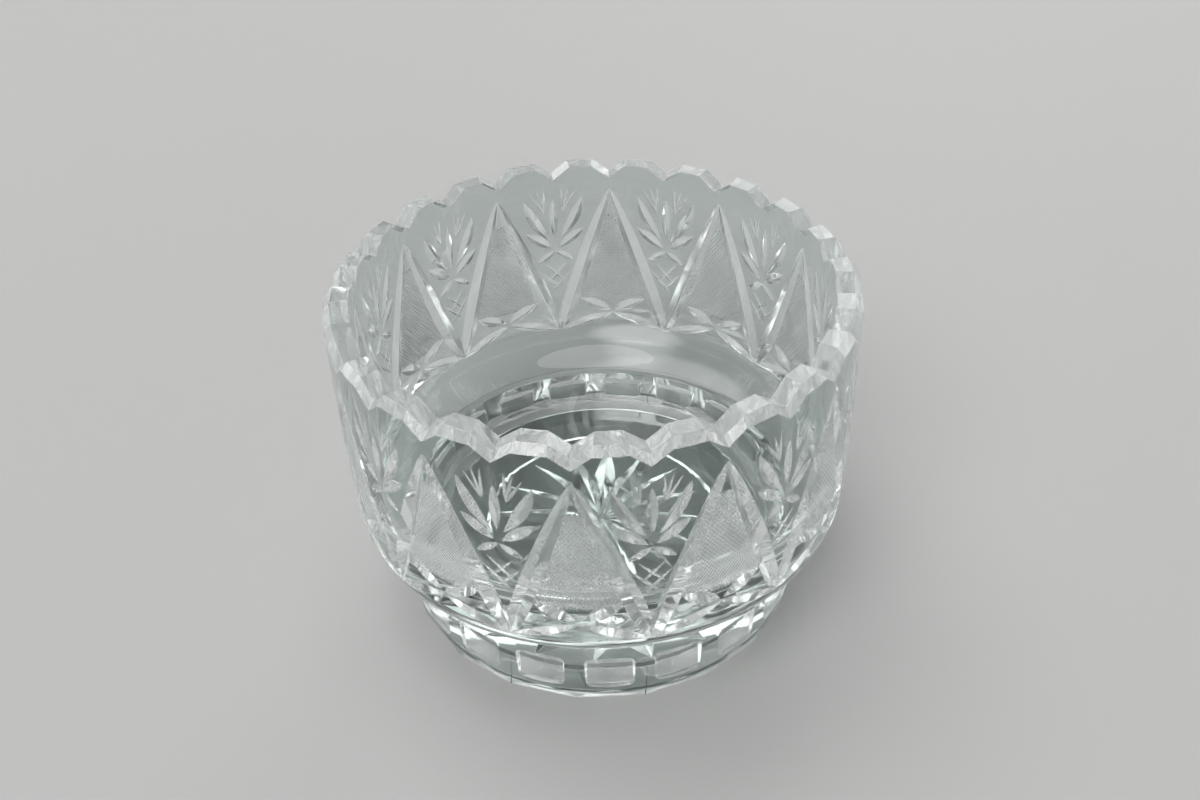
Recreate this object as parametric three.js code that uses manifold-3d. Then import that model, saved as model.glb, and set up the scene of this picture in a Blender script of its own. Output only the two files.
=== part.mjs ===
// Cut crystal bowl: a heavy clear glass salad bowl with a scalloped rim, a wall of mitre cuts
// (tall triangles and palm leaves, turn by turn) and a thick foot with sunk panels and a star cut
// underneath. Millimetres, +Z up, origin at the middle of the ring it stands on.
// One tall triangle points its tip at +Y.
import * as THREE from 'three';
import * as BufferGeometryUtils from 'three/addons/utils/BufferGeometryUtils.js';
import Module from 'manifold-3d';

// Overall sizes
const HEIGHT = 133; // foot ring to the top of the scallops
const RIM_RADIUS = 95;
const WALL = 9.2; // glass between the outside and the polished inside
const TAPER_START = 84; // the outside stands upright above this height
const TAPER = 0.03; // how far the wall comes in for each millimetre below it
const BELLY_RADIUS = 14.5; // round between the wall and the undercut
const EDGE_HEIGHT = 36.8; // fine edge in the undercut
const EDGE_RADIUS = RIM_RADIUS - 9.2;
const EDGE_SLOPE = 48; // degrees from level, just above that edge
const SEAM_HEIGHT = 31; // crease where the bowl sits on its foot
const SEAM_RADIUS = EDGE_RADIUS - 6.4;
const FLOOR_HEIGHT = 41; // inside floor above the table
const HOLLOW_START = 82; // the inside stands upright above this height
const HOLLOW_SQUARENESS = 3.2; // 2 would be an ellipse, more is squarer

// Scalloped rim
const SCALLOPS = 24;
const SCALLOP_FLAT = 10.9; // length of the level top of a scallop
const NOTCH_DEPTH = 5.2;
const RIM_BEVEL = 2.8; // ground edge outside, as wide as it is high

// Wall pattern: each motif is a tall triangle, then a palm half a motif further round.
const MOTIFS = SCALLOPS / 2;
const CUT_ANGLE = 106; // between the two faces of a mitre cut
const HALF_MOTIF = 180 / MOTIFS;
const PATTERN_FOOT = 49; // height of the feet of the tall cuts above the table
const TRIANGLE_TIP = 13; // places below the rim, on the outside
const TRIANGLE_BASE = 84;
const STRETCH = (HEIGHT - PATTERN_FOOT) / TRIANGLE_BASE; // of those places, on a higher or lower bowl
const TRIANGLE_CUT = 7.8; // widest part of the tall cuts
const TRIANGLE_FULLEST = 0.62; // how far down a tall cut is widest
const CROSS_TOP = 66.5;
const CROSS_REACH = 9; // reaches and bows are degrees round the wall
const CROSS_MIDDLE = 73.6;
const CROSS_CUT = 5.6;
const ROOF_PEAK = 75.4;
const ROOF_CUT = 4.8;
const PALM_MIDDLE_TOP = 16.5;
const PALM_MIDDLE_CUT = 3.8;
const PALM_NODE = 36;
const PALM_SIDE_TOP = 16.3;
const PALM_SIDE_REACH = 7.7;
const PALM_SIDE_CUT = 4.8;
const PALM_BOW = 0.8; // degrees that a side leaf swings outward at its middle
const PALM_LOW_TOP = 31.4;
const PALM_LOW_NODE = 40;
const PALM_LOW_REACH = 7.8;
const PALM_LOW_CUT = 4.4;
const CHEVRON_PEAK = 41.4;
const CHEVRON_END = 46.6;
const CHEVRON_REACH = 4.9;
const CHEVRON_CUT = 3;

// Foot
const FOOT_RADIUS = 78; // side of the foot, above the panels
const FOOT_SHOULDER = 27.6; // where the side turns out to the crease
const FOOT_TOP = 21; // the side leans in below this height
const FOOT_BASE_RADIUS = FOOT_RADIUS - 0.8;
const RING_RADIUS = FOOT_BASE_RADIUS - 6.2; // inside of the ground ring that it stands on
const RING_DEPTH = 1;
const RECESS_RADIUS = 50;
const RECESS_DEPTH = 2.4;
const PANELS = 19;
const PANEL_TURN = 6.1; // degrees from -Y towards +X to the nearest panel
const PANEL_WIDTH = 18.6;
const PANEL_LOW = 6.6;
const PANEL_HIGH = 21.6;
const PANEL_CORNER = 3;
const PANEL_DEPTH = 1.7;
const PANEL_EDGE = 1; // width of the slanted edge round a panel
const FACET_APOTHEM = FOOT_BASE_RADIUS - 1.1; // of the flat facets along the standing edge
const FACET_LEAN = 16; // degrees from upright
const FACET_HEIGHT = 12;
const STAR_RAYS = 16;
const STAR_RADIUS = 46;
const STAR_CUT = 9; // widest part of a ray
const STAR_FULLEST = 0.45;

// How finely curves are stepped
const BOWL_STEPS = 60;
const FOOT_STEPS = 76;
const BELLY_STEPS = 6;
const HOLLOW_STEPS = 8;
const LONG_CUT_STEPS = 6;
const SHORT_CUT_STEPS = 4;
const STAR_STEPS = 4;
const CORNER_STEPS = 3;
const CLEAR = 2; // how far cutters stand off the glass

const degrees = THREE.MathUtils.degToRad;
const wasm = await Module();
wasm.setup();

function solidOf(geometry) {
  const bare = geometry.clone();
  bare.deleteAttribute('normal');
  bare.deleteAttribute('uv');
  const merged = BufferGeometryUtils.mergeVertices(bare, 1e-4);
  return new wasm.Manifold(new wasm.Mesh({
    numProp: 3,
    vertProperties: new Float32Array(merged.attributes.position.array),
    triVerts: new Uint32Array(merged.index.array),
  }));
}

function geometryOf(solid) {
  const mesh = solid.getMesh();
  const geometry = new THREE.BufferGeometry();
  geometry.setAttribute('position', new THREE.BufferAttribute(new Float32Array(mesh.vertProperties), 3));
  geometry.setIndex(new THREE.BufferAttribute(new Uint32Array(mesh.triVerts), 1));
  return geometry;
}

// A closed solid of revolution round +Z from [radius, height] points that start and end on the axis.
function turned(points, steps) {
  const profile = points.map(([radius, height]) => new THREE.Vector2(radius, height));
  const geometry = new THREE.LatheGeometry(profile, steps);
  geometry.rotateX(Math.PI / 2);
  return geometry;
}

// A closed solid through rings of points, all with the same number and wound the same way.
function loft(rings) {
  const count = rings[0].length;
  const faces = [];
  for (let i = 0; i + 1 < rings.length; i += 1) {
    for (let side = 0; side < count; side += 1) {
      const a = count * i + side;
      const b = count * i + (side + 1) % count;
      faces.push(a, b + count, b, a, a + count, b + count);
    }
  }
  const last = count * (rings.length - 1);
  for (let k = 1; k + 1 < count; k += 1) faces.push(0, k, k + 1, last, last + k + 1, last + k);
  const geometry = new THREE.BufferGeometry();
  const corners = rings.flat().flatMap((p) => p.toArray());
  geometry.setAttribute('position', new THREE.Float32BufferAttribute(corners, 3));
  geometry.setIndex(faces);
  return geometry;
}

// The round between the wall and the undercut: its centre, which lies one belly radius inside
// both of their lines, and the angles below level of its two ends.
function belly() {
  const ends = [Math.atan(TAPER), degrees(90 - EDGE_SLOPE)];
  const on = [new THREE.Vector2(RIM_RADIUS, TAPER_START), new THREE.Vector2(EDGE_RADIUS, EDGE_HEIGHT)];
  const [wall, under] = ends.map((end) => new THREE.Vector2(Math.cos(end), -Math.sin(end)));
  const [a, b] = [wall.dot(on[0]) - BELLY_RADIUS, under.dot(on[1]) - BELLY_RADIUS];
  const cross = wall.cross(under);
  const centre = new THREE.Vector2(
    (a * under.y - b * wall.y) / cross,
    (wall.x * b - under.x * a) / cross,
  );
  return { centre, ends };
}

const BELLY = belly();

function bellyHeight(share) {
  return BELLY.centre.y - BELLY_RADIUS * Math.sin(THREE.MathUtils.lerp(BELLY.ends[0], BELLY.ends[1], share));
}

// The outside radius at a height: upright, a slight taper, the round belly, then the undercut.
function outsideRadius(height) {
  if (height >= TAPER_START) return RIM_RADIUS;
  if (height >= bellyHeight(0)) return RIM_RADIUS - TAPER * (TAPER_START - height);
  if (height >= bellyHeight(1)) {
    return BELLY.centre.x + Math.sqrt(BELLY_RADIUS ** 2 - (height - BELLY.centre.y) ** 2);
  }
  if (height >= EDGE_HEIGHT) return EDGE_RADIUS + (height - EDGE_HEIGHT) / Math.tan(degrees(EDGE_SLOPE));
  const share = (height - SEAM_HEIGHT) / (EDGE_HEIGHT - SEAM_HEIGHT);
  return THREE.MathUtils.lerp(SEAM_RADIUS, EDGE_RADIUS, share);
}

// Points down a squared quarter ellipse from its upright end, stepped evenly by angle.
function squaredArc(steps, squareness, pointAt) {
  const points = [];
  for (let i = 0; i <= steps; i += 1) {
    const turn = (Math.PI / 2) * (i / steps);
    points.push(pointAt(Math.cos(turn) ** (2 / squareness), Math.sin(turn) ** (2 / squareness)));
  }
  return points;
}

function bowlBlank() {
  const insideRadius = RIM_RADIUS - WALL;
  const heights = [SEAM_HEIGHT, EDGE_HEIGHT];
  for (let i = BELLY_STEPS; i >= 0; i -= 1) heights.push(bellyHeight(i / BELLY_STEPS));
  heights.push(TAPER_START, HEIGHT - RIM_BEVEL);
  const hollow = squaredArc(HOLLOW_STEPS, HOLLOW_SQUARENESS, (across, down) => [
    insideRadius * across,
    HOLLOW_START - (HOLLOW_START - FLOOR_HEIGHT) * down,
  ]);
  return turned([
    [0, SEAM_HEIGHT],
    ...heights.map((height) => [outsideRadius(height), height]),
    [RIM_RADIUS - RIM_BEVEL, HEIGHT],
    [insideRadius, HEIGHT],
    ...hollow,
  ], BOWL_STEPS);
}

// The V between two scallops, dropped towards the outside so that the ground edge runs down into it.
function notch() {
  const flatAngle = Math.asin(SCALLOP_FLAT / 2 / RIM_RADIUS);
  const halfWidth = RIM_RADIUS * Math.sin(Math.PI / SCALLOPS - flatAngle);
  const slope = NOTCH_DEPTH / halfWidth;
  const top = HEIGHT + CLEAR;
  const ring = (radius, drop) => {
    const bottom = HEIGHT - NOTCH_DEPTH - drop;
    const half = (top - bottom) / slope;
    return [
      new THREE.Vector3(0, radius, bottom),
      new THREE.Vector3(half, radius, top),
      new THREE.Vector3(-half, radius, top),
    ];
  };
  return loft([
    ring(RIM_RADIUS - WALL - CLEAR, 0),
    ring(RIM_RADIUS - RIM_BEVEL, 0),
    ring(RIM_RADIUS + CLEAR, RIM_BEVEL + CLEAR),
  ]);
}

// A mitre cut: the leaf that the edge of a V wheel leaves, from one place to another.
// place(t) gives the point on the glass and the direction out of it, for t from 0 to 1.
function mitre(place, width, fullest, steps) {
  const spread = Math.tan(degrees(CUT_ANGLE / 2));
  const sharp = (1 - fullest) / fullest;
  const most = fullest * (1 - fullest) ** sharp;
  const rings = [];
  for (let i = 0; i <= steps; i += 1) {
    const t = i / steps;
    const depth = (width / 2 / spread) * (t * (1 - t) ** sharp / most);
    const { point, out } = place(t);
    const ahead = place(Math.min(1, t + 0.01)).point.clone().sub(place(Math.max(0, t - 0.01)).point);
    const side = new THREE.Vector3().crossVectors(ahead, out).normalize();
    const half = (depth + CLEAR) * spread;
    const lifted = point.clone().addScaledVector(out, CLEAR);
    rings.push([
      point.clone().addScaledVector(out, -depth),
      lifted.clone().addScaledVector(side, half),
      lifted.clone().addScaledVector(side, -half),
    ]);
  }
  return loft(rings);
}

// A mitre cut on the wall. A place is [degrees from the middle of the figure, millimetres below
// the rim], and bow is how many degrees the cut swings round at its middle.
function wallCut(middle, from, to, width, fullest = 0.5, steps = SHORT_CUT_STEPS, bow = 0) {
  const place = (t) => {
    const angle = degrees(middle + THREE.MathUtils.lerp(from[0], to[0], t) + 4 * bow * t * (1 - t));
    const height = HEIGHT - STRETCH * THREE.MathUtils.lerp(from[1], to[1], t);
    const radius = outsideRadius(height);
    const steep = (outsideRadius(height + 0.1) - outsideRadius(height - 0.1)) / 0.2;
    const out = new THREE.Vector3(Math.sin(angle), Math.cos(angle), -steep).normalize();
    return { point: new THREE.Vector3(radius * Math.sin(angle), radius * Math.cos(angle), height), out };
  };
  return mitre(place, width, fullest, steps);
}

// Two mirrored tall cuts, the cross at their foot and the low roof between neighbouring feet.
function triangleCuts(middle) {
  return [-1, 1].flatMap((side) => [
    wallCut(middle, [0, TRIANGLE_TIP], [side * HALF_MOTIF, TRIANGLE_BASE],
      TRIANGLE_CUT, TRIANGLE_FULLEST, LONG_CUT_STEPS),
    wallCut(middle, [side * CROSS_REACH, CROSS_TOP], [side * 0.4, CROSS_MIDDLE], CROSS_CUT),
    wallCut(middle, [0, ROOF_PEAK], [side * HALF_MOTIF, TRIANGLE_BASE], ROOF_CUT),
  ]);
}

// Five leaves that grow out of a node, with a small roof under it.
function palmCuts(middle) {
  return [
    wallCut(middle, [0, PALM_MIDDLE_TOP], [0, PALM_NODE], PALM_MIDDLE_CUT),
    ...[-1, 1].flatMap((side) => [
      wallCut(middle, [side * PALM_SIDE_REACH, PALM_SIDE_TOP], [side * 1.3, PALM_NODE],
        PALM_SIDE_CUT, 0.5, SHORT_CUT_STEPS, side * PALM_BOW),
      wallCut(middle, [side * PALM_LOW_REACH, PALM_LOW_TOP], [side * 0.9, PALM_LOW_NODE], PALM_LOW_CUT),
      wallCut(middle, [0, CHEVRON_PEAK], [side * CHEVRON_REACH, CHEVRON_END], CHEVRON_CUT),
    ]),
  ];
}

function bowl() {
  const cutters = [];
  for (let i = 0; i < SCALLOPS; i += 1) {
    cutters.push(notch().rotateZ(-2 * Math.PI * (i / SCALLOPS)));
  }
  for (let i = 0; i < MOTIFS; i += 1) {
    const middle = 360 * (i / MOTIFS);
    cutters.push(...triangleCuts(middle), ...palmCuts(middle + HALF_MOTIF));
  }
  let solid = solidOf(bowlBlank());
  for (const cutter of cutters) solid = solid.subtract(solidOf(cutter));
  return geometryOf(solid);
}

function footBlank() {
  return turned([
    [0, RECESS_DEPTH],
    [RECESS_RADIUS - 2, RECESS_DEPTH],
    [RECESS_RADIUS, RING_DEPTH],
    [RING_RADIUS - RING_DEPTH, RING_DEPTH],
    [RING_RADIUS, 0],
    [FOOT_BASE_RADIUS, 0],
    [FOOT_RADIUS, FOOT_TOP],
    [FOOT_RADIUS, FOOT_SHOULDER],
    [SEAM_RADIUS, SEAM_HEIGHT],
    [0, SEAM_HEIGHT],
  ], FOOT_STEPS);
}

// Points of a rounded rectangle in an upright plane at a distance from the axis, on the -Y side.
function roundedPanel(width, height, corner, away, middle) {
  const points = [];
  for (let k = 0; k < 4; k += 1) {
    const across = (width / 2 - corner) * (k === 0 || k === 3 ? 1 : -1);
    const up = (height / 2 - corner) * (k < 2 ? 1 : -1);
    for (let i = 0; i <= CORNER_STEPS; i += 1) {
      const turn = (Math.PI / 2) * (k + i / CORNER_STEPS);
      const x = across + corner * Math.cos(turn);
      points.push(new THREE.Vector3(x, -away, middle + up + corner * Math.sin(turn)));
    }
  }
  return points.reverse();
}

// A sunk panel with rounded corners and a slanted edge in the side of the foot.
function panel() {
  const surface = Math.sqrt(FOOT_RADIUS ** 2 - (PANEL_WIDTH / 2) ** 2);
  const floor = FOOT_RADIUS - PANEL_DEPTH;
  const rings = [floor, surface, FOOT_RADIUS + CLEAR].map((away) => {
    const grown = PANEL_EDGE * (away - surface) / (surface - floor);
    return roundedPanel(PANEL_WIDTH + 2 * grown, PANEL_HIGH - PANEL_LOW + 2 * grown,
      PANEL_CORNER + grown, away, (PANEL_HIGH + PANEL_LOW) / 2);
  });
  return loft(rings);
}

// A flat facet that leaves an arch under a panel and a straight standing edge.
function facet() {
  const lean = Math.tan(degrees(FACET_LEAN));
  const half = FOOT_BASE_RADIUS * Math.sin(Math.PI / PANELS) + 3 * CLEAR;
  const top = FACET_APOTHEM + lean * FACET_HEIGHT;
  return loft([-half, half].map((x) => [
    new THREE.Vector3(x, -FACET_APOTHEM + lean * CLEAR, -CLEAR),
    new THREE.Vector3(x, -top - 3 * CLEAR, -CLEAR),
    new THREE.Vector3(x, -top, FACET_HEIGHT),
  ]));
}

// One ray of the star, cut up into the recess from below.
function starRay() {
  const place = (t) => ({
    point: new THREE.Vector3(0, STAR_RADIUS * t, RECESS_DEPTH),
    out: new THREE.Vector3(0, 0, -1),
  });
  return mitre(place, STAR_CUT, STAR_FULLEST, STAR_STEPS);
}

function foot() {
  let solid = solidOf(footBlank());
  for (const cutter of [facet, panel]) {
    for (let i = 0; i < PANELS; i += 1) {
      const turn = degrees(PANEL_TURN) - 2 * Math.PI * (i / PANELS);
      solid = solid.subtract(solidOf(cutter().rotateZ(turn)));
    }
  }
  for (let i = 0; i < STAR_RAYS; i += 1) {
    solid = solid.subtract(solidOf(starRay().rotateZ(-2 * Math.PI * (i / STAR_RAYS))));
  }
  return geometryOf(solid);
}

function crystal() {
  return new THREE.MeshStandardMaterial({
    color: 0xe9f1ee, roughness: 0.02, metalness: 0, transparent: true, opacity: 0.35,
  });
}

function piece(name, geometry) {
  const mesh = new THREE.Mesh(geometry, crystal());
  mesh.name = name;
  return mesh;
}

const part = new THREE.Group();
part.name = 'cut_crystal_bowl';
part.add(piece('bowl', bowl()), piece('foot', foot()));

export default part;
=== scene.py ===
"""Cut crystal bowl on a pale studio floor: clear glass with every mitre cut, hatch line and sunk
panel as geometry, seen from above at the photograph's angle."""

import math

import bmesh
import bpy
from mathutils import Matrix, Vector


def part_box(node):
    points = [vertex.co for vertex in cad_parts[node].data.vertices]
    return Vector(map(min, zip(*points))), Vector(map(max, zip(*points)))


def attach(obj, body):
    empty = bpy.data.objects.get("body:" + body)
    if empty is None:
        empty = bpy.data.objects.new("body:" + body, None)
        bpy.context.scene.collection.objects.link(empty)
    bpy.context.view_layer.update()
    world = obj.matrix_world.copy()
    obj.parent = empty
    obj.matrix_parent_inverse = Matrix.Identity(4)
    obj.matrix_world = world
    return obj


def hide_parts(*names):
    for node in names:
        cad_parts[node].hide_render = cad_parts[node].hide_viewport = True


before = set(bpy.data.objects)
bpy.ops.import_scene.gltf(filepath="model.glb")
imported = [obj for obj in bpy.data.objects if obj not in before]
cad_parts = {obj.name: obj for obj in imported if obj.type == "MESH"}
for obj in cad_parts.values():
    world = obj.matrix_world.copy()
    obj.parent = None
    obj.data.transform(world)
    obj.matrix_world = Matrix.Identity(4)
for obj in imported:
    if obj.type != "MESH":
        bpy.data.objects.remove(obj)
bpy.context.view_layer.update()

# Sizes from the frame, in metres
bowl_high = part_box("bowl")[1]
foot_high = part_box("foot")[1]
MM = 0.001
HEIGHT = bowl_high.z / MM
RIM_RADIUS = bowl_high.x / MM
SEAM_HEIGHT = foot_high.z / MM

# Vessel, in millimetres
SEAM_RADIUS = 79.4
WALL = 9.2
TAPER_START = 84
TAPER = 0.03
BELLY_RADIUS = 14.5
EDGE_HEIGHT = 36.8
EDGE_RADIUS = 85.8
EDGE_SLOPE = 48
FLOOR_HEIGHT = 41
HOLLOW_START = 82
HOLLOW_SQUARENESS = 3.2

# Rim
SCALLOPS = 24
SCALLOP_FLAT = 10.9
NOTCH_DEPTH = 5.2
NOTCH_INWARD = 3
RIM_BEVEL = 2.8

# Wall pattern: places are degrees from the middle of a figure and millimetres below the rim
MOTIFS = SCALLOPS // 2
HALF_MOTIF = 180 / MOTIFS
CUT_ANGLE = 106
FINE_ANGLE = 100
TRIANGLE_TIP = (0, 13)
TRIANGLE_FOOT = (HALF_MOTIF, 84)
TRIANGLE_CUT = 7.8
TRIANGLE_FULLEST = 0.62
TRIANGLE_FALL = 0.62
CROSS_TIP = (9, 66.5)
CROSS_MIDDLE = (0.4, 73.6)
CROSS_CUT = 5.6
ROOF_PEAK = (0, 75.4)
ROOF_CUT = 4.8
PALM_MIDDLE_TIP = (0, 16.5)
PALM_MIDDLE_NODE = (0, 35.6)
PALM_MIDDLE_CUT = 3.8
PALM_SIDE_TIP = (7.7, 16.3)
PALM_SIDE_NODE = (1.3, 36.2)
PALM_SIDE_CUT = 4.8
PALM_SIDE_BOW = 0.8
PALM_LOW_TIP = (7.8, 31.4)
PALM_LOW_NODE = (0.9, 40)
PALM_LOW_CUT = 4.4
CHEVRON_PEAK = (0, 41.4)
CHEVRON_END = (4.9, 46.6)
CHEVRON_CUT = 3.0
FAN_NODE = (2.4, 23.2)
FAN_TIPS = ((6.1, 13.2), (4.3, 11.2), (2.4, 10.8))
FAN_CUT = 1.1
FAN_FULLEST = 0.6
LATTICE_LINES = (((-2.9, 47.5), (2.7, 57.5)), ((-4.1, 51.7), (1.5, 61.5)))
LATTICE_CUT = 1.4

# Fine cross-hatching between the tall cuts
HATCH_PITCH = 1.2
HATCH_SLANT = 52
HATCH_DEPTH = 0.4
HATCH_SINK = 0.03
HATCH_TOP = 26
HATCH_SIDE = 66
HATCH_LOW = 69

# Foot
FOOT_RADIUS = 78
FOOT_SHOULDER = 27.6
FOOT_TOP = 21
FOOT_BASE_RADIUS = 77.2
FACET_APOTHEM = 76.1
FACET_LEAN = 16
FACET_CUTTER = (20, 12, 6)
PANELS = 19
PANEL_TURN = 6.1
PANEL_WIDTH = 18.6
PANEL_LOW = 6.6
PANEL_HIGH = 21.6
PANEL_CORNER = 3
PANEL_DEPTH = 1.7
PANEL_EDGE = 1
RING_RADIUS = 71
RING_DEPTH = 1.0
RECESS_RADIUS = 50
RECESS_SLANT = 2
RECESS_DEPTH = 2.4
STAR_RAYS = 16
STAR_RADIUS = 46
STAR_CUT = 9
STAR_FULLEST = 0.45

# Stepping of curves, and how far the cutters stand out of the glass
TURN_STEPS = 240
BELLY_STEPS = 14
WALL_STEPS = 6
HOLLOW_STEPS = 40
CORNER_STEPS = 6
CUT_STEPS = 16
TALL_STEPS = 24
FINE_STEPS = 8
CLEAR = 0.8
ON_AXIS = 1e-6
NUDGE = 0.01
SLOPE_STEP = 0.1
SHARP_FROM = 12

# How near a face has to be to a place to count as on it, and how level is level
NEAR = 0.05
LEVEL = 0.99

# Glass: the polished outside is painted darker than the rest, painted shade over the glass's grey-green
# tint, so that the cuts show bright
IOR = 1.545
BEVEL_SAMPLES = 4
WAVE_DETAIL = 3
WAVE_STOPS = ((0.3, 0.97), (0.7, 1))
RING_DISTORTION = 1.5
WAVE_PITCH = 2 * math.pi / 20  # of Blender's wave texture at scale 1
# The hatch grooves get painted shade, darker where the surface is hollow; the points between them keep
# a clear glass tint
GROOVE_SHADE_STOP, GROOVE_PAINTED_SHADE = 0.44, (0.3, 0.35, 0.335)
POINT_STOP, POINT_TINT = 0.56, (0.98, 1, 0.99)

# Floor, in metres, and an overhead lamp
FLOOR_SIZE = 40
FLOOR_LEVEL = -0.0001
FLOOR_COLOUR = (0.5, 0.5, 0.495)
FLOOR_ROUGHNESS = 0.6
LAMP_SIZE = 0.9
LAMP_POWER = 4
LAMP_HEIGHT = 1.8

# Studio light: (height of the direction, level) from the horizon up, then soft round diffusers as
# (direction, inner and outer angle in degrees, level); the strength multiplies every level
TENT = ((0.08, 0.22), (0.17, 1), (0.32, 1), (0.42, 0.004))
DIFFUSERS = (
    ((-0.5, -1.2, 1.5), 8, 24, 1.8),
    ((-0.6, 0.5, 1.7), 8, 24, 1.1),
    ((0.3, 1.4, 0.9), 5, 18, 0.8),
)
TENT_STRENGTH = 2.5

# Camera, fitted to the photograph
SENSOR_WIDTH = 36
LENS = 39.24
CAMERA_TURN = 5.25
CAMERA_PITCH = 37.42
CAMERA_ROLL = -2.14
CAMERA_DISTANCE = 494.7
CAMERA_TARGET = (1.19, 0, 79.2)
NEAREST = 0.01
BOUNCES = 24
CLEAR_BOUNCES = 32


def link(name, bm, materials=()):
    """Turns a bmesh in millimetres into an object in metres."""
    bmesh.ops.scale(bm, vec=(MM, MM, MM), verts=bm.verts)
    mesh = bpy.data.meshes.new(name)
    bm.to_mesh(mesh)
    bm.free()
    piece = bpy.data.objects.new(name, mesh)
    bpy.context.scene.collection.objects.link(piece)
    for material in materials:
        mesh.materials.append(material)
    return piece


def turned(points, steps):
    """A closed solid of revolution round +Z from (radius, height) points, which start and end on it."""
    bm = bmesh.new()
    rings = []
    for radius, height in points:
        if radius < ON_AXIS:
            rings.append([bm.verts.new((0, 0, height))])
            continue
        ring = []
        for i in range(steps):
            turn = 2 * math.pi * i / steps
            ring.append(bm.verts.new((radius * math.sin(turn), radius * math.cos(turn), height)))
        rings.append(ring)
    for low, high in zip(rings, rings[1:]):
        for i in range(steps):
            j = (i + 1) % steps
            if len(low) == 1:
                bm.faces.new((low[0], high[j], high[i]))
            elif len(high) == 1:
                bm.faces.new((low[i], low[j], high[0]))
            else:
                bm.faces.new((low[i], low[j], high[j], high[i]))
    bmesh.ops.recalc_face_normals(bm, faces=bm.faces)
    return bm


def belly():
    """The round between the wall and the undercut: its centre, one belly radius inside both of
    their lines, and the angles below level of its two ends."""
    ends = math.atan(TAPER), math.radians(90 - EDGE_SLOPE)
    wall, under = ((math.cos(end), -math.sin(end)) for end in ends)
    a = wall[0] * RIM_RADIUS + wall[1] * TAPER_START - BELLY_RADIUS
    b = under[0] * EDGE_RADIUS + under[1] * EDGE_HEIGHT - BELLY_RADIUS
    cross = wall[0] * under[1] - wall[1] * under[0]
    centre = (a * under[1] - b * wall[1]) / cross, (wall[0] * b - under[0] * a) / cross
    return centre, ends


BELLY_CENTRE, BELLY_ENDS = belly()


def belly_height(share):
    down = BELLY_ENDS[0] + (BELLY_ENDS[1] - BELLY_ENDS[0]) * share
    return BELLY_CENTRE[1] - BELLY_RADIUS * math.sin(down)


def outside_radius(height):
    if height >= TAPER_START:
        return RIM_RADIUS
    if height >= belly_height(0):
        return RIM_RADIUS - TAPER * (TAPER_START - height)
    if height >= belly_height(1):
        return BELLY_CENTRE[0] + math.sqrt(BELLY_RADIUS**2 - (height - BELLY_CENTRE[1]) ** 2)
    if height >= EDGE_HEIGHT:
        return EDGE_RADIUS + (height - EDGE_HEIGHT) / math.tan(math.radians(EDGE_SLOPE))
    rise = EDGE_HEIGHT - SEAM_HEIGHT
    return SEAM_RADIUS + (EDGE_RADIUS - SEAM_RADIUS) * (height - SEAM_HEIGHT) / rise


def squared_arc(steps, squareness):
    """(across, down) shares along a squared quarter ellipse, from its upright end."""
    for i in range(steps + 1):
        turn = math.pi / 2 * i / steps
        yield max(0.0, math.cos(turn)) ** (2 / squareness), math.sin(turn) ** (2 / squareness)


def loft(bm, rings):
    """Adds a closed solid through rings of three points."""
    rings = [[bm.verts.new(p) for p in ring] for ring in rings]
    for back, front in zip(rings, rings[1:]):
        for k in range(3):
            j = (k + 1) % 3
            bm.faces.new((back[k], front[k], front[j], back[j]))
    bm.faces.new(rings[0])
    bm.faces.new(rings[-1][::-1])


def mitre(bm, place, width, fullest=0.5, steps=CUT_STEPS, angle=CUT_ANGLE, fall=1):
    """Adds the leaf that a V wheel leaves. place(t) gives a point on the glass and the way out of it,
    and a fall below 1 keeps the leaf broad almost to its ends."""
    spread = math.tan(math.radians(angle / 2))
    sharp = (1 - fullest) / fullest
    most = fullest * (1 - fullest) ** sharp
    rings = []
    for i in range(steps + 1):
        t = i / steps
        depth = width / 2 / spread * (t * (1 - t) ** sharp / most) ** fall
        point, out = place(t)
        ahead = place(min(1, t + NUDGE))[0] - place(max(0, t - NUDGE))[0]
        side = ahead.cross(out).normalized()
        half = (depth + CLEAR) * spread
        lifted = point + out * CLEAR
        rings.append((point - out * depth, lifted + side * half, lifted - side * half))
    loft(bm, rings)


def on_wall(middle, start, end, bow=0.0):
    def place(t):
        degrees = middle + start[0] + (end[0] - start[0]) * t + 4 * bow * t * (1 - t)
        height = HEIGHT - start[1] - (end[1] - start[1]) * t
        radius = outside_radius(height)
        above, below = outside_radius(height + SLOPE_STEP), outside_radius(height - SLOPE_STEP)
        steep = (above - below) / (2 * SLOPE_STEP)
        turn = math.radians(degrees)
        out = Vector((math.sin(turn), math.cos(turn), -steep)).normalized()
        return Vector((radius * math.sin(turn), radius * math.cos(turn), height)), out

    return place


def mirrored(place, side):
    return side * place[0], place[1]


def leaves(centre, start, end, width, side=1, fullest=0.5, bow=0.0, **shape):
    """The same leaf in every motif, as one cutter; no two of them touch each other."""
    bm = bmesh.new()
    for i in range(MOTIFS):
        middle = 360 * i / MOTIFS + centre
        path = on_wall(middle, mirrored(start, side), mirrored(end, side), side * bow)
        mitre(bm, path, width, fullest, **shape)
    return bm


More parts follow.
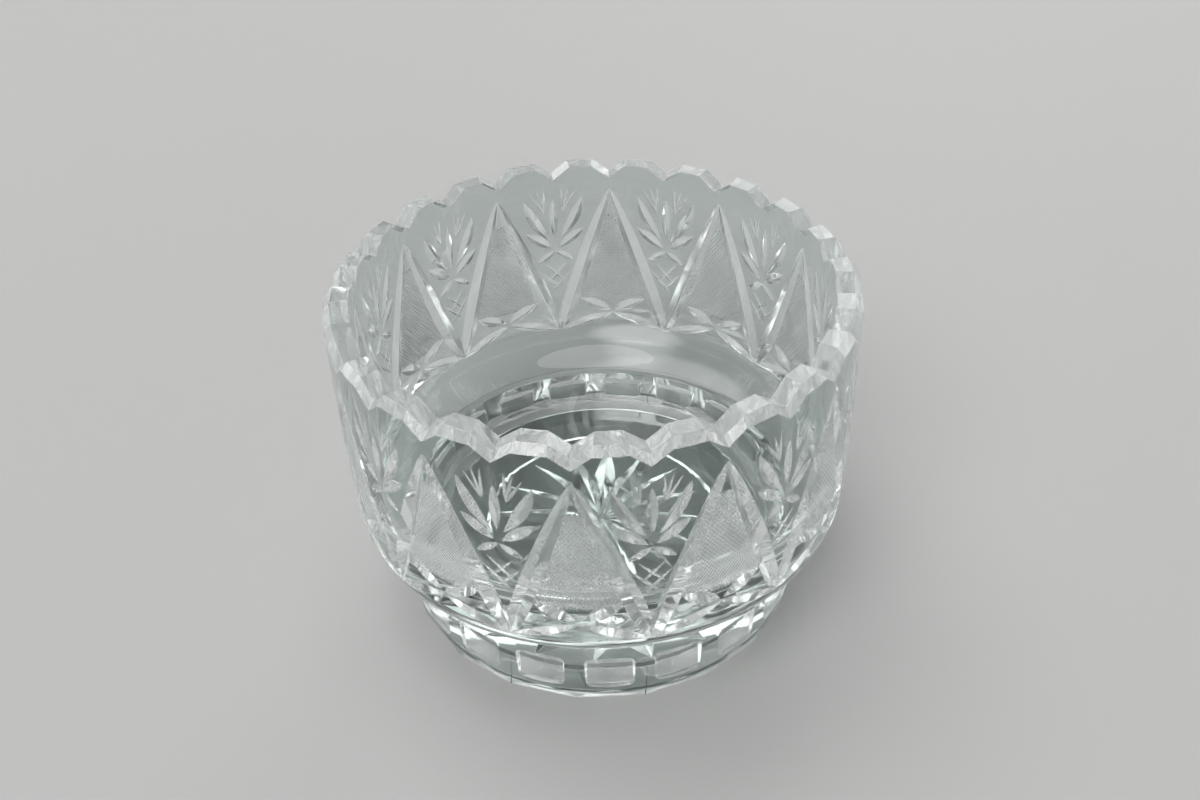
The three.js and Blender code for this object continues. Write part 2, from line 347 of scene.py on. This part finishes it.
def wall_cuts():
    """Every cut of the wall pattern. A palm stands half a motif further round than a triangle."""
    palm = HALF_MOTIF
    fine = {"steps": FINE_STEPS, "angle": FINE_ANGLE}
    for side in (-1, 1):
        for tip in FAN_TIPS:
            yield leaves(palm, tip, FAN_NODE, FAN_CUT, side, FAN_FULLEST, **fine)
        for start, end in LATTICE_LINES:
            yield leaves(palm, start, end, LATTICE_CUT, side, **fine)
    yield leaves(palm, PALM_MIDDLE_TIP, PALM_MIDDLE_NODE, PALM_MIDDLE_CUT)
    for side in (-1, 1):
        yield leaves(palm, PALM_SIDE_TIP, PALM_SIDE_NODE, PALM_SIDE_CUT, side, bow=PALM_SIDE_BOW)
        yield leaves(palm, PALM_LOW_TIP, PALM_LOW_NODE, PALM_LOW_CUT, side)
        yield leaves(palm, CHEVRON_PEAK, CHEVRON_END, CHEVRON_CUT, side)
        yield leaves(0, CROSS_TIP, CROSS_MIDDLE, CROSS_CUT, side)
        yield leaves(0, ROOF_PEAK, TRIANGLE_FOOT, ROOF_CUT, side)
        yield leaves(
            0,
            TRIANGLE_TIP,
            TRIANGLE_FOOT,
            TRIANGLE_CUT,
            side,
            TRIANGLE_FULLEST,
            steps=TALL_STEPS,
            fall=TRIANGLE_FALL,
        )


def hatch_limit(below):
    """Half the width of the hatched field, in millimetres round the wall, at a depth below the rim."""
    if below < HATCH_TOP or below > HATCH_LOW:
        return 0.0
    along = (below - TRIANGLE_TIP[1]) / (TRIANGLE_FOOT[1] - TRIANGLE_TIP[1])
    leg = math.radians(TRIANGLE_FOOT[0] * along) * RIM_RADIUS
    if below <= HATCH_SIDE:
        return leg
    return leg * (HATCH_LOW - below) / (HATCH_LOW - HATCH_SIDE)


def hatch_cells():
    """Cells (i, j) of the slanted lattice in the hatched field, none joined by a corner alone."""
    slant = math.radians(HATCH_SLANT)
    step = HATCH_PITCH / math.sin(math.pi - 2 * slant)
    across, along = step * math.cos(slant), step * math.sin(slant)
    middle = (HATCH_TOP + HATCH_LOW) / 2

    def node(i, j):
        return (i - j) * across, middle + (i + j) * along

    reach = int((HATCH_LOW - HATCH_TOP) / along)
    cells = set()
    for i in range(-reach, reach):
        for j in range(-reach, reach):
            x, below = node(i + 0.5, j + 0.5)
            if abs(x) < hatch_limit(below):
                cells.add((i, j))
    changed = True
    while changed:
        changed = False
        for i, j in list(cells):
            for di, dj in ((1, 1), (1, -1)):
                if (i + di, j + dj) in cells and not {(i + di, j), (i, j + dj)} & cells:
                    cells.add((i + di, j))
                    changed = True
    return cells, node


def hatch_cuts():
    """One closed cutter a triangle, whose underside is a field of small pyramids."""
    cells, node = hatch_cells()
    bm = bmesh.new()
    for m in range(MOTIFS):
        middle = 2 * math.pi * m / MOTIFS

        def at(i, j, lift):
            x, below = node(i, j)
            height = HEIGHT - below
            radius = outside_radius(height) + lift
            turn = middle + x / RIM_RADIUS
            return bm.verts.new((radius * math.sin(turn), radius * math.cos(turn), height))

        low, high = {}, {}
        for i, j in cells:
            for corner in ((i, j), (i + 1, j), (i + 1, j + 1), (i, j + 1)):
                if corner not in low:
                    low[corner] = at(*corner, -HATCH_SINK - HATCH_DEPTH)
                    high[corner] = at(*corner, CLEAR)
        for i, j in cells:
            ring = ((i, j), (i + 1, j), (i + 1, j + 1), (i, j + 1))
            peak = at(i + 0.5, j + 0.5, -HATCH_SINK)
            bm.faces.new([high[c] for c in ring])
            for k, beyond in enumerate(((i, j - 1), (i + 1, j), (i, j + 1), (i - 1, j))):
                a, b = ring[k], ring[(k + 1) % 4]
                bm.faces.new((low[b], low[a], peak))
                if beyond not in cells:
                    bm.faces.new((high[b], high[a], low[a], low[b]))
    bmesh.ops.recalc_face_normals(bm, faces=bm.faces)
    return bm


def notch_cuts():
    """The V between each two scallops, dropped outward so that the ground edge runs down into it."""
    flat_angle = math.asin(SCALLOP_FLAT / 2 / RIM_RADIUS)
    slope = NOTCH_DEPTH / (RIM_RADIUS * math.sin(math.pi / SCALLOPS - flat_angle))
    top = HEIGHT + CLEAR
    bm = bmesh.new()
    for i in range(SCALLOPS):
        turn = Matrix.Rotation(-2 * math.pi * i / SCALLOPS, 3, "Z")
        rings = []
        for radius, drop in (
            (RIM_RADIUS - WALL - NOTCH_INWARD, 0),
            (RIM_RADIUS - RIM_BEVEL, 0),
            (RIM_RADIUS + CLEAR, RIM_BEVEL + CLEAR),
        ):
            bottom = HEIGHT - NOTCH_DEPTH - drop
            half = (top - bottom) / slope
            ring = ((0, radius, bottom), (half, radius, top), (-half, radius, top))
            rings.append([turn @ Vector(p) for p in ring])
        loft(bm, rings)
    return bm


def bowl_blank():
    inside = RIM_RADIUS - WALL
    points = [(0, SEAM_HEIGHT)]
    heights = [SEAM_HEIGHT, EDGE_HEIGHT]
    heights += [belly_height(k / BELLY_STEPS) for k in range(BELLY_STEPS, -1, -1)]
    for low, high in ((heights[-1], TAPER_START), (TAPER_START, HEIGHT - RIM_BEVEL)):
        heights += [low + (high - low) * k / WALL_STEPS for k in range(1, WALL_STEPS + 1)]
    points += [(outside_radius(h), h) for h in heights]
    points += [(RIM_RADIUS - RIM_BEVEL, HEIGHT), (inside, HEIGHT)]
    points += [
        (inside * across, HOLLOW_START - (HOLLOW_START - FLOOR_HEIGHT) * down)
        for across, down in squared_arc(HOLLOW_STEPS, HOLLOW_SQUARENESS)
    ]
    points[-1] = (0, FLOOR_HEIGHT)
    return turned(points, TURN_STEPS)


def foot_blank():
    points = [
        (0, RECESS_DEPTH),
        (RECESS_RADIUS - RECESS_SLANT, RECESS_DEPTH),
        (RECESS_RADIUS, RING_DEPTH),
        (RING_RADIUS - RING_DEPTH, RING_DEPTH),
        (RING_RADIUS, 0),
        (FOOT_BASE_RADIUS, 0),
        (FOOT_RADIUS, FOOT_TOP),
        (FOOT_RADIUS, FOOT_SHOULDER),
        (SEAM_RADIUS, SEAM_HEIGHT),
        (0, SEAM_HEIGHT),
    ]
    return turned(points, TURN_STEPS)


def rounded(width, height, corner):
    """Corners of a rounded rectangle round the origin, as (across, up)."""
    for k in range(4):
        across = (width / 2 - corner) * (1 if k in (0, 3) else -1)
        up = (height / 2 - corner) * (1 if k < 2 else -1)
        for i in range(CORNER_STEPS + 1):
            turn = math.pi / 2 * (k + i / CORNER_STEPS)
            yield across + corner * math.cos(turn), up + corner * math.sin(turn)


def round_foot(index):
    return Matrix.Rotation(math.radians(PANEL_TURN) - 2 * math.pi * index / PANELS, 3, "Z")


def panel_cuts():
    """Sunk panels with rounded corners and a slanted edge, round the side of the foot."""
    middle = (PANEL_LOW + PANEL_HIGH) / 2
    height = PANEL_HIGH - PANEL_LOW
    surface = math.sqrt(FOOT_RADIUS**2 - (PANEL_WIDTH / 2) ** 2)
    floor = FOOT_RADIUS - PANEL_DEPTH
    bm = bmesh.new()
    for i in range(PANELS):
        turn = round_foot(i)
        rings = []
        for out in (floor, surface, FOOT_RADIUS + CLEAR):
            grow = PANEL_EDGE * (out - surface) / (surface - floor)
            outline = rounded(PANEL_WIDTH + 2 * grow, height + 2 * grow, PANEL_CORNER + grow)
            rings.append([bm.verts.new(turn @ Vector((x, -out, middle + z))) for x, z in outline])
        for back, front in zip(rings, rings[1:]):
            for k in range(len(back)):
                j = (k + 1) % len(back)
                bm.faces.new((back[k], back[j], front[j], front[k]))
        bm.faces.new(rings[0])
        bm.faces.new(rings[-1][::-1])
    bmesh.ops.recalc_face_normals(bm, faces=bm.faces)
    return bm


def facet_cuts():
    """The flat facets under the panels, which leave arches and a straight-sided standing edge."""
    lean = math.tan(math.radians(FACET_LEAN))
    half, top, inward = FACET_CUTTER
    bm = bmesh.new()
    for i in range(PANELS):
        turn = round_foot(i)
        rings = []
        for x in (-half, half):
            ring = (
                (x, -FACET_APOTHEM + lean * CLEAR, -CLEAR),
                (x, -FACET_APOTHEM - lean * top, top),
                (x, -FACET_APOTHEM - lean * top - inward, -CLEAR),
            )
            rings.append([turn @ Vector(p) for p in ring])
        loft(bm, rings)
    bmesh.ops.recalc_face_normals(bm, faces=bm.faces)
    return bm


def star_cuts():
    bm = bmesh.new()
    for i in range(STAR_RAYS):
        turn = 2 * math.pi * i / STAR_RAYS
        way = Vector((math.sin(turn), math.cos(turn), 0))

        def place(t, way=way):
            return way * STAR_RADIUS * t + Vector((0, 0, RECESS_DEPTH)), Vector((0, 0, -1))

        mitre(bm, place, STAR_CUT, STAR_FULLEST)
    return bm


def cut(piece, cutter):
    """Cuts a solid by every closed shape in a mesh; the cut faces keep the cutter's material."""
    boolean = piece.modifiers.new("cut", "BOOLEAN")
    boolean.operation = "DIFFERENCE"
    boolean.solver = "MANIFOLD"
    boolean.material_mode = "TRANSFER"
    boolean.object = cutter
    depsgraph = bpy.context.evaluated_depsgraph_get()
    mesh = bpy.data.meshes.new_from_object(piece.evaluated_get(depsgraph))
    piece.modifiers.clear()
    old = piece.data
    piece.data = mesh
    mesh.name = old.name
    bpy.data.meshes.remove(old)
    bpy.data.objects.remove(cutter)


def glass(name, tint, roughness, clearness, grain, depth, edge=0.4, rings=0):
    """Clear crystal. grain is the size of the waves that the polish leaves, depth their height, edge
    how far the polish rounds an edge, and rings the pitch of the marks of the flat stone, all in
    millimetres; clearness below 1 leaves a white bloom."""
    material = bpy.data.materials.new(name)
    material.use_nodes = True
    tree = material.node_tree
    shader = tree.nodes["Principled BSDF"]
    shader.inputs["Roughness"].default_value = roughness
    shader.inputs["IOR"].default_value = IOR
    shader.inputs["Transmission Weight"].default_value = clearness
    place = tree.nodes.new("ShaderNodeTexCoord")
    waves = tree.nodes.new("ShaderNodeTexNoise")
    waves.inputs["Scale"].default_value = 1 / (grain * MM)
    waves.inputs["Detail"].default_value = WAVE_DETAIL
    tree.links.new(place.outputs["Object"], waves.inputs["Vector"])
    colour = tree.nodes.new("ShaderNodeValToRGB")
    for stop, (at, share) in zip(colour.color_ramp.elements, WAVE_STOPS):
        stop.position = at
        stop.color = (*(share * c for c in tint), 1)
    tree.links.new(waves.outputs["Fac"], colour.inputs["Fac"])
    tree.links.new(colour.outputs["Color"], shader.inputs["Base Color"])
    bump = tree.nodes.new("ShaderNodeBump")
    bump.inputs["Distance"].default_value = depth * MM
    tree.links.new(waves.outputs["Fac"], bump.inputs["Height"])
    tree.links.new(bump.outputs["Normal"], shader.inputs["Normal"])
    if edge:
        soften = tree.nodes.new("ShaderNodeBevel")
        soften.samples = BEVEL_SAMPLES
        soften.inputs["Radius"].default_value = edge * MM
        tree.links.new(soften.outputs["Normal"], bump.inputs["Normal"])
    if rings:
        lathe = tree.nodes.new("ShaderNodeTexWave")
        lathe.wave_type = "RINGS"
        lathe.rings_direction = "Z"
        lathe.inputs["Scale"].default_value = WAVE_PITCH / (rings * MM)
        lathe.inputs["Distortion"].default_value = RING_DISTORTION
        tree.links.new(place.outputs["Object"], lathe.inputs["Vector"])
        tree.links.new(lathe.outputs["Fac"], bump.inputs["Height"])
    return material


# The dark tint of the polished outside is painted shade: the same crystal as the inside, drawn darker
# so that the cuts show bright
polished = glass(
    "polished_crystal", (0.52, 0.595, 0.57), roughness=0.0, clearness=1.0, grain=16, depth=0.006
)
inside = glass(
    "inside_crystal", (0.94, 0.975, 0.965), roughness=0.0, clearness=1.0, grain=16, depth=0.006
)
ground = glass(
    "cut_crystal", (0.95, 0.985, 0.972), roughness=0.02, clearness=0.88, grain=1.9, depth=0.07
)
rim = glass(
    "rim_crystal", (0.94, 0.97, 0.96), roughness=0.04, clearness=0.76, grain=1.8, depth=0.07
)
satin = glass(
    "hatched_crystal", (0.93, 0.96, 0.95), roughness=0.13, clearness=0.7, grain=1.0, depth=0.02, edge=0
)
stoned = glass(
    "ground_ring",
    (0.95, 0.97, 0.96),
    roughness=0.15,
    clearness=0.55,
    grain=1.0,
    depth=0.03,
    edge=0,
    rings=0.9,
)


def paint_groove_shade(material):
    """Paints shade into the grooves of the hatching by how pointed the surface is, so they are darker
    than the polished points between them.
    """
    tree = material.node_tree
    shape = tree.nodes.new("ShaderNodeNewGeometry")
    ramp = tree.nodes.new("ShaderNodeValToRGB")
    stops = ((GROOVE_SHADE_STOP, GROOVE_PAINTED_SHADE), (POINT_STOP, POINT_TINT))
    for stop, (at, tint) in zip(ramp.color_ramp.elements, stops):
        stop.position = at
        stop.color = (*tint, 1)
    tree.links.new(shape.outputs["Pointiness"], ramp.inputs["Fac"])
    tree.links.new(ramp.outputs["Color"], tree.nodes["Principled BSDF"].inputs["Base Color"])


paint_groove_shade(satin)
join = bpy.data.materials.new("fused_join")
join.use_nodes = True
join.node_tree.nodes.remove(join.node_tree.nodes["Principled BSDF"])
clear = join.node_tree.nodes.new("ShaderNodeBsdfTransparent")
join.node_tree.links.new(clear.outputs[0], join.node_tree.nodes["Material Output"].inputs["Surface"])


def dress(piece, material, chosen):
    """Gives a material to the faces for which chosen(normal, middle in millimetres) is true."""
    mesh = piece.data
    if material.name not in mesh.materials:
        mesh.materials.append(material)
    slot = mesh.materials.find(material.name)
    for face in mesh.polygons:
        if chosen(face.normal, face.center / MM):
            face.material_index = slot


def at_seam(normal, middle):
    return abs(normal.z) > LEVEL and abs(middle.z - SEAM_HEIGHT) < NEAR


def at_rim(normal, middle):
    return normal.z > 0.5 and middle.z > HEIGHT - NOTCH_DEPTH - RIM_BEVEL - NEAR


def on_ring(normal, middle):
    return normal.z < -LEVEL and middle.z < NEAR


def in_hollow(normal, middle):
    near_inside = math.hypot(middle.x, middle.y) < RIM_RADIUS - WALL + NEAR
    return near_inside and middle.z > FLOOR_HEIGHT - NEAR


def finish_glass(piece):
    """The fused joint between bowl and foot, smooth curves and crisp cuts."""
    dress(piece, join, at_seam)
    mesh = piece.data
    mesh.shade_smooth()
    mesh.set_sharp_from_angle(angle=math.radians(SHARP_FROM))


bowl = link("crystal_bowl", bowl_blank(), [polished])
cut(bowl, link("notches", notch_cuts(), [ground]))
cut(bowl, link("hatch", hatch_cuts(), [satin]))
for leaf in wall_cuts():
    cut(bowl, link("leaf", leaf, [ground]))
dress(bowl, rim, at_rim)
dress(bowl, inside, in_hollow)
finish_glass(bowl)

foot = link("crystal_foot", foot_blank(), [polished])
for name, maker in (("facets", facet_cuts), ("panels", panel_cuts), ("star", star_cuts)):
    cut(foot, link(name, maker(), [ground]))
dress(foot, stoned, on_ring)
finish_glass(foot)

for piece, node, slot in ((bowl, "bowl", "crystal"), (foot, "foot", "foot_crystal")):
    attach(piece, "root")
    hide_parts(node)


def floor():
    mesh = bpy.data.meshes.new("floor")
    signs = ((-1, -1), (1, -1), (1, 1), (-1, 1))
    corners = [(x * FLOOR_SIZE, y * FLOOR_SIZE, FLOOR_LEVEL) for x, y in signs]
    mesh.from_pydata(corners, [], [(0, 1, 2, 3)])
    plane = bpy.data.objects.new("floor", mesh)
    bpy.context.scene.collection.objects.link(plane)
    material = bpy.data.materials.new("pale_floor")
    material.use_nodes = True
    shader = material.node_tree.nodes["Principled BSDF"]
    shader.inputs["Base Color"].default_value = (*FLOOR_COLOUR, 1)
    shader.inputs["Roughness"].default_value = FLOOR_ROUGHNESS
    mesh.materials.append(material)


def glow(tree, place, towards, inner, outer, level):
    """A soft round diffuser: its level inside the inner angle, nothing past the outer one."""
    way = Vector(towards).normalized()
    facing = tree.nodes.new("ShaderNodeVectorMath")
    facing.operation = "DOT_PRODUCT"
    facing.inputs[1].default_value = way
    tree.links.new(place, facing.inputs[0])
    edge = tree.nodes.new("ShaderNodeMapRange")
    edge.interpolation_type = "SMOOTHERSTEP"
    edge.inputs["From Min"].default_value = math.cos(math.radians(outer))
    edge.inputs["From Max"].default_value = math.cos(math.radians(inner))
    edge.inputs["To Max"].default_value = level
    tree.links.new(facing.outputs["Value"], edge.inputs["Value"])
    return edge.outputs["Result"]


def add(tree, first, second):
    total = tree.nodes.new("ShaderNodeMath")
    total.operation = "ADD"
    tree.links.new(first, total.inputs[0])
    tree.links.new(second, total.inputs[1])
    return total.outputs["Value"]


def studio():
    """A light tent: grey horizon, low bright wall, dark ceiling, and soft diffusers round it."""
    world = bpy.data.worlds.new("studio")
    world.use_nodes = True
    tree = world.node_tree
    place = tree.nodes.new("ShaderNodeTexCoord")
    split = tree.nodes.new("ShaderNodeSeparateXYZ")
    ramp = tree.nodes.new("ShaderNodeValToRGB")
    ramp.color_ramp.interpolation = "EASE"
    while len(ramp.color_ramp.elements) < len(TENT):
        ramp.color_ramp.elements.new(1)
    for stop, (at, level) in zip(ramp.color_ramp.elements, TENT):
        stop.position = at
        stop.color = (level, level, level, 1)
    tree.links.new(place.outputs["Generated"], split.inputs[0])
    tree.links.new(split.outputs["Z"], ramp.inputs["Fac"])
    light = ramp.outputs["Color"]
    for towards, inner, outer, level in DIFFUSERS:
        light = add(tree, light, glow(tree, place.outputs["Generated"], towards, inner, outer, level))
    background = tree.nodes["Background"]
    tree.links.new(light, background.inputs["Color"])
    background.inputs["Strength"].default_value = TENT_STRENGTH
    bpy.context.scene.world = world

    data = bpy.data.lights.new("overhead", "AREA")
    data.shape = "DISK"
    data.size = LAMP_SIZE
    data.energy = LAMP_POWER
    lamp = bpy.data.objects.new("overhead", data)
    lamp.location = (0, 0, LAMP_HEIGHT)
    bpy.context.scene.collection.objects.link(lamp)


def camera():
    data = bpy.data.cameras.new("camera")
    data.lens = LENS
    data.sensor_width = SENSOR_WIDTH
    data.clip_start = NEAREST
    pitch, roll, turn = (math.radians(a) for a in (CAMERA_PITCH, CAMERA_ROLL, CAMERA_TURN))
    ahead = Vector((0, math.cos(pitch), -math.sin(pitch)))
    right = Vector((1, 0, 0))
    up = Vector((0, math.sin(pitch), math.cos(pitch)))
    rolled_right = right * math.cos(roll) + up * math.sin(roll)
    rolled_up = up * math.cos(roll) - right * math.sin(roll)
    place = Vector(CAMERA_TARGET) - ahead * CAMERA_DISTANCE
    matrix = Matrix((
        (rolled_right.x, rolled_up.x, -ahead.x, place.x * MM),
        (rolled_right.y, rolled_up.y, -ahead.y, place.y * MM),
        (rolled_right.z, rolled_up.z, -ahead.z, place.z * MM),
        (0, 0, 0, 1),
    ))
    eye = bpy.data.objects.new("camera", data)
    eye.matrix_world = Matrix.Rotation(turn, 4, "Z") @ matrix
    bpy.context.scene.collection.objects.link(eye)
    bpy.context.scene.camera = eye


floor()
studio()
camera()

scene = bpy.context.scene
scene.view_settings.view_transform = "Standard"
scene.cycles.max_bounces = BOUNCES
scene.cycles.transmission_bounces = BOUNCES
scene.cycles.glossy_bounces = BOUNCES
scene.cycles.transparent_max_bounces = CLEAR_BOUNCES
